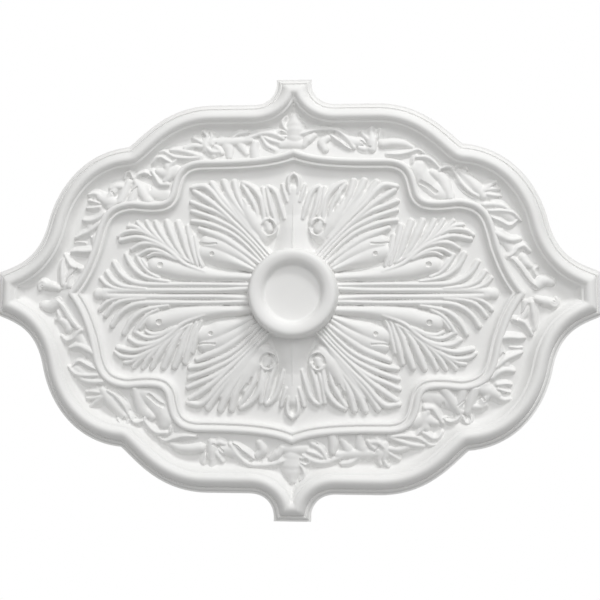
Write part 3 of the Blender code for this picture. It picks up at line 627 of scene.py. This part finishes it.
vine = {
    "bed": {"width": 1.9, "rise": 0.5, "reach": 0.9, "below": 5},
    "ridges": {
        "pads": [
            ([(-103, 194), (-98, 181), (-99, 170)], (6, 7.5, 4.5), (4, 4.6, 3.4)),
            ([(-89.5, 191), (-80.5, 180), (-79, 169)], (6, 8, 5), (4, 4.4, 3.2)),
            ([(-73, 191), (-65.5, 183.5), (-58, 172)], (5.5, 6.5, 4), (3.8, 4, 3)),
            ([(-196, 134.5), (-176, 125.5), (-156, 120.5)], (7, 9, 8), (3.2, 3.8, 3.2)),
            ([(-234.5, 118.5), (-223, 108.5), (-210, 102.5)], (8, 10, 7), (4.4, 4.6, 3.4)),
            ([(-250.5, 82.5), (-245, 69), (-242.5, 58)], (5.5, 5.5, 4), (3.4, 3.4, 3)),
            ([(150.5, 151.5), (161, 136.5), (174, 124), (188, 119)], (10, 12, 11, 8), (4.6, 4.8, 4.4, 3.4)),
            ([(203, 146), (217, 131), (234.5, 119)], (8, 10, 8), (4.4, 4.8, 4.2)),
            ([(243.5, 108), (254, 98), (263, 91)], (7, 8, 6), (3.6, 4, 3.4)),
            ([(247.5, 73), (255, 61), (262, 49)], (6, 7, 6), (3.4, 3.6, 3.2)),
        ],
        "topPalmette": [
            ([(1, 194), (1.5, 203), (1, 211.5), (0.5, 218.5)], (12, 15, 12, 7), (5, 7, 7, 5.2)),
            ([(-7, 200), (-12.5, 206), (-14, 213.5), (-9.5, 219.5)], (2.9, 3.1, 2.6), (4.5, 5.5, 4)),
            ([(6.5, 196), (15, 198.5), (22, 202)], (3.6, 3.8, 3.1), (4.5, 5.5, 5)),
            ([(-10.5, 193.5), (-17.5, 193), (-20, 198), (-15.5, 201), (-10, 198.5)],
             (2.4, 2.6, 2.4), (4.5, 5, 4.5)),
            ([(-15.5, 184), (0.5, 184.5), (11.5, 183)], (6, 7, 6), (3, 3.5, 3)),
        ],
        "halfLeaf": [
            ([(-13, 190.5), (-26.5, 197.5), (-39, 198), (-48.5, 195), (-58.5, 191.5)],
             (3.1, 4.1, 4.3, 3.6), (4.5, 5.5, 6, 5)),
            ([(-18, 185.5), (-28, 188.5), (-36, 193)], (2.9, 3.4, 2.9), (4, 5, 4.5)),
            ([(-23, 176.5), (-31.5, 181.5), (-36.5, 187.5), (-40, 194)], (3.1, 3.6, 2.9), (3, 4, 4.5)),
            ([(-47, 166.5), (-48.5, 176), (-47.5, 186)], (6.5, 6.5, 5), (3.5, 5, 5.5)),
            ([(-76, 193), (-67, 198), (-57.5, 199.5)], (3.1, 3.8, 3.1), (4.5, 6, 5)),
        ],
        "leafOne": [
            ([(-53.5, 190), (-72, 188.5), (-91, 188), (-105.5, 187)], (5.4, 6.6, 6.6, 6), (5, 5, 5, 5.5)),
            ([(-108, 178), (-109, 184), (-109, 189)], (6, 7, 6), (5, 6.5, 6)),
            ([(-108, 188), (-107.5, 195.5), (-112, 201.5)], (3.6, 3.6, 3.1), (6, 6.5, 5.5)),
            ([(-105.5, 186.5), (-101.5, 194), (-103.5, 200)], (3.6, 3.6, 2.9), (6, 6, 5)),
            ([(-113, 186.5), (-119.5, 190.5), (-124.5, 193.5)], (3.6, 3.6, 2.9), (6, 5.5, 4.5)),
            ([(-114, 181.5), (-124, 182.5), (-134, 179.5)], (4.1, 5, 5), (6, 6, 5)),
            ([(-108, 180.5), (-100.5, 174.5), (-92, 174.5)], (3.8, 4.3, 3.6), (6, 6, 4.5)),
            ([(-100.5, 184), (-93, 179), (-88.5, 173)], (3.8, 4.1, 3.6), (5.5, 5, 4)),
        ],
        "grooved": [
            ([(-115.5, 169), (-127.5, 173), (-140, 176.5), (-153, 178)],
             (3.1, 4.1, 3.8, 3.1), (4.5, 6, 5.5, 4.5)),
            ([(-116.5, 167), (-132.5, 166.5), (-146.5, 168.5), (-155.5, 173.5)],
             (2.9, 3.4, 3.4, 2.6), (4.5, 5.5, 5.5, 4.5)),
        ],
        "hooks": [
            ([(-174.5, 162), (-170.5, 167.5), (-164, 169), (-158, 165.5), (-152.5, 162.5)],
             (2.4, 3.1, 3.4, 2.9), (4, 6, 6, 4.5)),
            ([(-168, 176), (-160.5, 176.5), (-154, 171.5)], (2.4, 2.9, 2.6), (3.5, 4.5, 4)),
            ([(-153.5, 154), (-150.5, 159.5), (-145, 165)], (2.9, 2.9, 2.4), (5, 5.5, 4.5)),
            ([(-145, 150), (-157, 147.5), (-168.5, 151)], (9, 9, 5), (4, 5.5, 5.5)),
            ([(-175.5, 151), (-169.5, 142), (-164, 134.5), (-155.5, 134)],
             (3.1, 3.8, 4.1, 4.1), (6, 6.5, 6.5, 5.5)),
            ([(-155, 156), (-154.5, 144.5), (-158, 138.5)], (7, 7, 5), (5, 5.5, 5.5)),
        ],
        "hookedPair": [
            ([(-209.5, 143), (-207.5, 149.5), (-202.5, 150.5), (-199.5, 144)], (2.4, 2.9, 2.6), (4.5, 6, 5)),
            ([(-197, 141.5), (-190.5, 148), (-183, 149.5), (-176.5, 145.5)],
             (2.6, 3.1, 2.9, 2.6), (5, 6.5, 6, 5)),
            ([(-213.5, 112.5), (-208.5, 126), (-204, 138.5)], (6, 6.6, 4.8), (5.5, 6, 6)),
            ([(-179, 115), (-187.5, 127.5), (-195.5, 138.5)], (7, 7.5, 5), (4.5, 5.5, 6)),
            ([(-200, 112.5), (-196.5, 125), (-193, 135)], (6, 6, 5), (4.5, 5, 5.5)),
        ],
        "sideLeaf": [
            ([(-218.5, 111.5), (-230.5, 115), (-239.5, 119)], (7, 9.5, 6), (5, 6.5, 6)),
            ([(-237.5, 120), (-246.5, 124), (-254, 123)], (4.1, 4.1, 3.1), (5.5, 5.5, 4.5)),
            ([(-240, 111.5), (-248, 114), (-254, 115.5)], (2.9, 2.9, 2.4), (5, 5.5, 4.5)),
            ([(-239.5, 106.5), (-248, 105.5), (-256, 106)], (3.1, 2.9, 2.4), (5, 5.5, 4.5)),
            ([(-219, 132.5), (-223.5, 125), (-228.5, 119)], (4.8, 5.4, 4.8), (5, 6, 6)),
            ([(-211.5, 132.5), (-219, 132.5), (-225.5, 130)], (4.8, 4.8, 3.6), (5.5, 6, 5)),
        ],
        "slits": [
            ([(-233.5, 99), (-241.5, 92), (-250, 89.5), (-259, 90.5)], (3.1, 3.8, 4.1, 3.4), (4.5, 6, 6, 5)),
            ([(-238, 86.5), (-249.5, 77), (-259.5, 72.5), (-268.5, 69)],
             (3.1, 3.8, 3.8, 2.9), (4.5, 6, 6, 4.5)),
            ([(-255.5, 62.5), (-262.5, 63.5), (-270.5, 63)], (1.4, 1.8, 1.4), (2.5, 3, 2.5)),
            ([(-244, 52.5), (-254.5, 51.5), (-264.5, 52), (-272.5, 51.5)],
             (3.6, 4.1, 3.8, 3.1), (5, 6.5, 6.5, 5)),
            ([(-240, 68), (-241, 59.5), (-244.5, 53.5)], (4.8, 4.8, 3.6), (4, 4, 4)),
        ],
        "endLeaf": [
            ([(-261, 30.5), (-271.5, 34), (-277, 41), (-281.5, 48)], (3.1, 3.6, 3.4, 2.9), (4.5, 6, 6, 5)),
            ([(-282, 11.5), (-283.5, 25), (-284, 36), (-282.5, 43)], (4.1, 4.6, 4.1, 3.1), (5, 6.5, 6.5, 5)),
            ([(-274.5, 10.5), (-274.5, 21.5), (-270, 30)], (5, 6, 4), (3.5, 4, 4)),
            ([(-287.5, 6.5), (-298, 9.5), (-307, 10.5)], (4.5, 6.5, 5.5), (5, 6.5, 6)),
            ([(-302, 11.5), (-308.5, 15), (-312, 11.5), (-311.5, 6)], (2.9, 3.1, 2.9, 2.9), (6, 6, 5.5, 5)),
        ],
        "trumpet": [
            ([(14, 198.5), (25, 201), (38.5, 202), (49.5, 201.5), (58, 197), (66.5, 189), (73.5, 178.5)],
             (3.1, 3.6, 3.6, 3.4, 3.4), (5, 6, 6.5, 6, 5)),
            ([(46, 194.5), (52, 189), (60.5, 183), (69, 177)], (2.6, 3.1, 2.9, 2.4), (5, 6, 5.5, 4.5)),
            ([(41, 191.5), (35, 185), (38.5, 176.5)], (5, 6.5, 5.5), (5, 5.5, 4.5)),
            ([(25, 195), (16.5, 188), (12.5, 182)], (4.5, 6, 4), (4.5, 5.5, 4)),
        ],
        "leafTwo": [
            ([(61.5, 194), (72.5, 186.5), (82.5, 186)], (4, 8, 7), (5, 5.5, 5)),
            ([(95.5, 177), (95.5, 186.5), (95.5, 194.5)], (6, 8, 6), (5, 6.5, 6)),
            ([(94.5, 192), (95, 201), (96, 205.5)], (4.3, 4.3, 3.6), (5.5, 4.5, 3.5)),
            ([(91, 188.5), (86, 194), (83, 198)], (3.8, 3.8, 3.1), (5.5, 5.5, 4.5)),
            ([(100.5, 190.5), (105, 196.5), (105.5, 201)], (3.8, 3.8, 2.9), (5.5, 5, 4)),
            ([(94.5, 180), (87, 176.5), (80, 178.5)], (3.6, 3.8, 3.4), (4, 4, 3.5)),
            ([(109, 183), (119.5, 184.5), (134, 183.5), (145, 178.5)], (6.5, 7, 6.5, 4), (6, 6.5, 6, 4.5)),
        ],
        "hooksTwo": [
            ([(115, 169), (129, 169), (141.5, 172), (151, 175), (159.5, 171)],
             (2.4, 3.4, 3.4, 3.1, 2.6), (4.5, 6, 6, 6, 4.5)),
            ([(148.5, 165.5), (161.5, 165.5), (170, 160), (177.5, 151)],
             (2.6, 3.6, 3.6, 3.1), (5, 6.5, 6.5, 5.5)),
            ([(144.5, 158), (146, 165), (150, 168)], (2.2, 2.4, 2.2), (4.5, 5, 4.5)),
            ([(153, 155), (154, 147), (156.5, 140.5)], (8.5, 9, 6), (5, 5.5, 5)),
            ([(176, 148.5), (183, 153.5), (190, 153), (196, 144.5)],
             (2.9, 3.4, 3.4, 2.9), (5.5, 6.5, 6.5, 5)),
            ([(196, 151.5), (199, 156.5), (204.5, 157), (209.5, 150.5)], (2.6, 3.4, 3.4, 2.6), (5, 6, 6, 5)),
            ([(168.5, 147), (180.5, 139), (185, 127), (188.5, 115)], (6, 8.5, 7.5, 5), (5, 5.5, 5.5, 4.5)),
            ([(197.5, 144), (203, 133), (212, 123), (221.5, 117)], (2.9, 3.6, 3.6, 3.1), (4.5, 5.5, 5.5, 5)),
            ([(201, 146.5), (210, 140), (221.5, 127.5), (228.5, 117)], (4, 7, 8.5, 6), (5, 6, 6.5, 5.5)),
        ],
        "sideLeafTwo": [
            ([(228.5, 124), (237, 131), (243.5, 135)], (4.8, 4.3, 3.1), (6, 6, 4.5)),
            ([(231, 124), (239.5, 126), (248, 126)], (3.1, 3.4, 2.6), (6, 5.5, 4.5)),
            ([(232, 119), (240.5, 118), (249, 118)], (3.1, 3.4, 2.6), (6, 5.5, 4.5)),
            ([(228.5, 106), (240, 106.5), (250.5, 105), (258, 101)], (3.6, 4.6, 4.3, 3.4), (4.5, 6, 6, 5)),
            ([(234.5, 98.5), (249.5, 99), (263.5, 96.5), (272, 88)], (2.9, 3.4, 3.4, 2.6), (5, 6, 6, 5)),
            ([(237.5, 90.5), (247, 86.5), (257.5, 81.5), (264, 84.5), (268.5, 89)],
             (2.4, 2.9, 2.6, 2.2), (4.5, 5.5, 5, 4)),
            ([(237, 73.5), (247.5, 68), (259, 63.5), (271, 65.5)], (4.8, 5, 4.3, 3.4), (5, 6.5, 6.5, 5)),
        ],
        "endLeafTwo": [
            ([(256.5, 44.5), (262.5, 49), (267, 54.5), (275, 57), (281.5, 51.5)],
             (2.9, 3.6, 3.6, 3.6, 3.4), (4.5, 5.5, 6, 6, 5)),
            ([(274, 43), (278, 36), (284, 32)], (6, 6, 4.1), (5, 6, 5)),
            ([(261, 41.5), (270, 32.5), (277, 22), (285, 11)], (4.3, 5, 5, 4.1), (4.5, 5, 5, 4.5)),
            ([(288, 10), (297, 16), (306.5, 14)], (6.5, 8, 6), (5.5, 6.5, 5.5)),
            ([(287.5, 22), (285.5, 28.5), (290, 32)], (2.6, 3.1, 2.6), (4.5, 5.5, 4.5)),
        ],
    },
    "hollows": [
        ([(154, 134), (162, 130), (171.5, 122)], 3.0),
        ([(-15.5, 197)], 1.9),
        ([(-44.5, 192)], 2.6),
        ([(-29, 177)], 1.6),
        ([(-206, 145)], 2.4),
        ([(-229, 102)], 3.0),
        ([(-291, 13)], 3.0),
        ([(-308, 9.5)], 1.6),
        ([(38.5, 197)], 3.4),
        ([(49.5, 198.5)], 2.0),
        ([(154, 171)], 2.6),
        ([(202.5, 151)], 2.8),
        ([(195, 140)], 1.9),
        ([(234, 111)], 3.0),
        ([(243, 130.5)], 2.4),
        ([(246, 122.5)], 1.8),
        ([(245.5, 115)], 1.8),
        ([(270, 80.5)], 3.6),
        ([(277.5, 50)], 2.0),
        ([(-112.5, 197.5)], 2.0),
        ([(-120, 178)], 2.4),
        ([(-249, 116.5)], 1.8),
        ([(-251.5, 109.5)], 1.9),
        ([(-254, 101.5)], 2.6),
        ([(-189, 145.5), (-180.5, 146.5)], 2.0),
        ([(-223.5, 124.5), (-219.5, 118.5)], 1.8),
        ([(-246.5, 71), (-241, 77.5)], 2.1),
        ([(179.5, 149.5), (189.5, 150)], 2.1),
        ([(82.5, 186), (88.5, 181), (93, 178.5)], 1.8),
        ([(55.5, 189), (64, 181), (70, 177.5)], 1.3),
        ([(259.5, 38.5), (268, 28.5), (277, 15), (286, 6.5)], 2.2),
        ([(190.5, 136.5), (199.5, 129), (212.5, 118.5), (224.5, 112)], 2.2),
        ([(-39.5, 187), (-39, 176.5)], 1.4),
        ([(-101, 179), (-96, 185)], 1.3),
        ([(-177.5, 143), (-176.5, 129)], 2.2),
        ([(-277, 13), (-272.5, 21), (-264, 30)], 1.8),
        ([(-200, 125.5), (-193, 131)], 1.3),
        ([(102.5, 196.5), (102, 181.5)], 1.4),
    ],
    "edge": 29,  # how far inside the outline the piece ends
    "innerLevels": (0.5, 8),  # level lines inside the frame's crest, besides those of the channel
    "levelsWithin": 30,  # and only this far inside the outline
    "spacing": 1.3,
}


def builtVine():
    half = ridgesOf(vine)
    fingers = half + [mirrored(one, -1, -1) for one in half]
    hollows = [(hollowLine(line), radius) for line, radius in vine["hollows"]]
    hollows += [(-line, radius) for line, radius in hollows]
    loop = np.array([start for start, _ in offsetRuns(outline, vine["edge"])])
    levels = []
    for distance in (-body["channelRun"], -body["channelStart"], *vine["innerLevels"]):
        levels += offsetRuns(innerFrame, distance)
    levels = [pair for pair in levels if (depthIn(np.array(pair), outline) > vine["levelsWithin"]).all()]
    return carvedPiece("roseVine", loop, fingers, hollows, floorUnder, levels, vine["spacing"])


# The boss and its flat dish, turned on a lathe

boss = {
    "profile": [  # distance from the middle, height above the back
        (0, 28.5), (31.0, 28.5), (32.4, 28.8), (33.4, 29.6), (34.3, 31.2), (35.3, 33.6), (36.6, 35.9),
        (38.4, 37.7), (40.6, 38.9), (43.0, 39.6), (45.4, 40.0), (47.8, 39.8), (49.6, 39.0), (50.9, 37.0),
        (51.9, 33.6), (52.8, 29.0), (53.6, 24.0), (54.3, 19.5), (55.2, 16.0), (56.5, 13.6), (56.8, 4.0),
        (0, 4.0),
    ],
    "sides": 160,
    "merge": 0.00001,  # in metres
    "smoothing": 35,
}


def builtBoss():
    line = [(radius * millimetre, 0, -height * millimetre) for radius, height in boss["profile"]]
    piece = newPiece("roseBoss", line, [(i, i + 1) for i in range(len(line) - 1)], [])
    screw = piece.modifiers.new("turned", "SCREW")
    screw.axis = "Z"
    screw.steps = screw.render_steps = boss["sides"]
    screw.use_merge_vertices = True
    screw.merge_threshold = boss["merge"]
    screw.use_smooth_shade = True
    onlyChosen(piece)
    bpy.ops.object.modifier_apply(modifier=screw.name)
    bpy.ops.object.mode_set(mode="EDIT")
    bpy.ops.mesh.select_all(action="SELECT")
    bpy.ops.mesh.remove_doubles(threshold=boss["merge"])
    bpy.ops.mesh.normals_make_consistent(inside=False)
    bpy.ops.mesh.select_all(action="DESELECT")
    bpy.ops.object.mode_set(mode="OBJECT")
    smoothed(piece, boss["smoothing"])
    return piece


# Paint

paint = {
    "colour": (0.86, 0.86, 0.85, 1),
    "shadeColour": (0.80, 0.79, 0.77, 1),
    "roughness": 0.58,
    "specular": 0.35,
    "mottleScale": 26.0,
    "mottleShare": 0.35,
    "grainScale": 900.0,
    "grainStrength": 0.05,
    "grainDepth": 0.0005,
}


def paintGroup():
    group = bpy.data.node_groups.new("brushedPaint", "ShaderNodeTree")
    group.interface.new_socket("Colour", in_out="INPUT", socket_type="NodeSocketColor")
    group.interface.new_socket("Worn colour", in_out="INPUT", socket_type="NodeSocketColor")
    group.interface.new_socket("Base", in_out="OUTPUT", socket_type="NodeSocketColor")
    group.interface.new_socket("Normal", in_out="OUTPUT", socket_type="NodeSocketVector")
    nodes, links = group.nodes, group.links
    given, result = nodes.new("NodeGroupInput"), nodes.new("NodeGroupOutput")
    place = nodes.new("ShaderNodeTexCoord")
    mottle, grain = nodes.new("ShaderNodeTexNoise"), nodes.new("ShaderNodeTexNoise")
    mottle.inputs["Scale"].default_value = paint["mottleScale"]
    grain.inputs["Scale"].default_value = paint["grainScale"]
    soften, mix = nodes.new("ShaderNodeMapRange"), nodes.new("ShaderNodeMix")
    bump = nodes.new("ShaderNodeBump")
    soften.inputs["To Max"].default_value = paint["mottleShare"]
    mix.data_type = "RGBA"
    bump.inputs["Strength"].default_value = paint["grainStrength"]
    bump.inputs["Distance"].default_value = paint["grainDepth"]
    links.new(place.outputs["Object"], mottle.inputs["Vector"])
    links.new(place.outputs["Object"], grain.inputs["Vector"])
    links.new(mottle.outputs["Fac"], soften.inputs["Value"])
    links.new(soften.outputs["Result"], mix.inputs["Factor"])
    links.new(given.outputs["Colour"], mix.inputs["A"])
    links.new(given.outputs["Worn colour"], mix.inputs["B"])
    links.new(grain.outputs["Fac"], bump.inputs["Height"])
    links.new(mix.outputs["Result"], result.inputs["Base"])
    links.new(bump.outputs["Normal"], result.inputs["Normal"])
    return group


def whitePaint():
    material = bpy.data.materials.new("white matte paint")
    material.use_nodes = True
    tree = material.node_tree
    shader = tree.nodes["Principled BSDF"]
    shader.inputs["Roughness"].default_value = paint["roughness"]
    shader.inputs["Specular IOR Level"].default_value = paint["specular"]
    surface = tree.nodes.new("ShaderNodeGroup")
    surface.node_tree = paintGroup()
    surface.inputs["Colour"].default_value = paint["colour"]
    surface.inputs["Worn colour"].default_value = paint["shadeColour"]
    tree.links.new(surface.outputs["Base"], shader.inputs["Base Color"])
    tree.links.new(surface.outputs["Normal"], shader.inputs["Normal"])
    return material


whiteCoat = whitePaint()
for build in (builtBody, builtRosette, builtVine, builtBoss):
    piece = build()
    piece.data.materials.clear()
    piece.data.materials.append(whiteCoat)
    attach(piece, "root")
    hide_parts("ceiling_rose")
    piece.data.calc_loop_triangles()
    print(piece.name, "built with", len(piece.data.loop_triangles), "triangles")


# Floor, light and camera

studio = {
    "floorDrop": 3.4,
    "floorSize": 60.0,
    "floorColour": (0.44, 0.44, 0.44, 1),
    "floorRoughness": 0.9,
    "skyAbove": (1.0, 1.0, 1.0, 1),
    "skyBelow": (0.36, 0.36, 0.36, 1),
    "paleFrom": 0.2,  # how far up the sky turns from the lower colour to the upper one
    "whiteFrom": 0.72,
}

bpy.ops.mesh.primitive_plane_add(size=studio["floorSize"], location=(0, 0, -studio["floorDrop"]))
floor = bpy.context.object
floor.name = "studioFloor"
floorPaint = bpy.data.materials.new("pale floor")
floorPaint.use_nodes = True
floorShader = floorPaint.node_tree.nodes["Principled BSDF"]
floorShader.inputs["Base Color"].default_value = studio["floorColour"]
floorShader.inputs["Roughness"].default_value = studio["floorRoughness"]
floor.data.materials.append(floorPaint)


def studioWorld():
    world = bpy.data.worlds.new("studio")
    world.use_nodes = True
    bpy.context.scene.world = world
    nodes, links = world.node_tree.nodes, world.node_tree.links
    place = nodes.new("ShaderNodeTexCoord")
    split = nodes.new("ShaderNodeSeparateXYZ")
    ramp = nodes.new("ShaderNodeMapRange")
    ramp.inputs["From Min"].default_value = studio["paleFrom"]
    ramp.inputs["From Max"].default_value = studio["whiteFrom"]
    mix = nodes.new("ShaderNodeMix")
    mix.data_type = "RGBA"
    mix.inputs["A"].default_value = studio["skyBelow"]
    mix.inputs["B"].default_value = studio["skyAbove"]
    links.new(place.outputs["Generated"], split.inputs["Vector"])
    links.new(split.outputs["Z"], ramp.inputs["Value"])
    links.new(ramp.outputs["Result"], mix.inputs["Factor"])
    links.new(mix.outputs["Result"], nodes["Background"].inputs["Color"])


studioWorld()

lamps = {
    "keyLamp": {"place": (1.45, -3.9, -2.25), "size": 1.0, "power": 90.0},
    "fillLamp": {"place": (0.4, -1.5, -2.6), "size": 1.9, "power": 27.0},
    "backLamp": {"place": (0.9, -1.4, 1.8), "size": 1.6, "power": 12.0},
}

for name, lamp in lamps.items():
    bpy.ops.object.light_add(type="AREA", location=lamp["place"])
    light = bpy.context.object
    light.name = name
    light.data.shape = "DISK"
    light.data.size = lamp["size"]
    light.data.energy = lamp["power"]
    light.rotation_euler = (-Vector(lamp["place"])).to_track_quat("-Z", "Y").to_euler()

viewpoint = {
    "place": (0.0520, 0.0547, -0.8528),
    "left": 0.0519,  # turns towards the photo's left and top and about the line of sight, in radians
    "up": 0.0989,
    "roll": 0.0017,
    "lens": 42.0,
    "sensor": 36.0,
    "shift": -0.05,
    "nearest": 0.05,
}

bpy.ops.object.camera_add(location=viewpoint["place"])
camera = bpy.context.object
camera.name = "photoCamera"
camera.data.lens = viewpoint["lens"]
camera.data.sensor_width = viewpoint["sensor"]
camera.data.shift_y = viewpoint["shift"]
camera.data.clip_start = viewpoint["nearest"]
turnUp = Matrix.Rotation(viewpoint["up"], 3, "X")
turnSide = Matrix.Rotation(-viewpoint["left"], 3, "Y")
turnRoll = Matrix.Rotation(viewpoint["roll"], 3, "Z")
facingUp = Matrix(((1, 0, 0), (0, -1, 0), (0, 0, -1)))  # looks along +Z with -Y at the top of the picture
camera.rotation_euler = (turnUp @ turnSide @ turnRoll @ facingUp).to_euler()
bpy.context.scene.camera = camera
bpy.context.scene.view_settings.view_transform = "Standard"
print("stage, lights and camera ready")
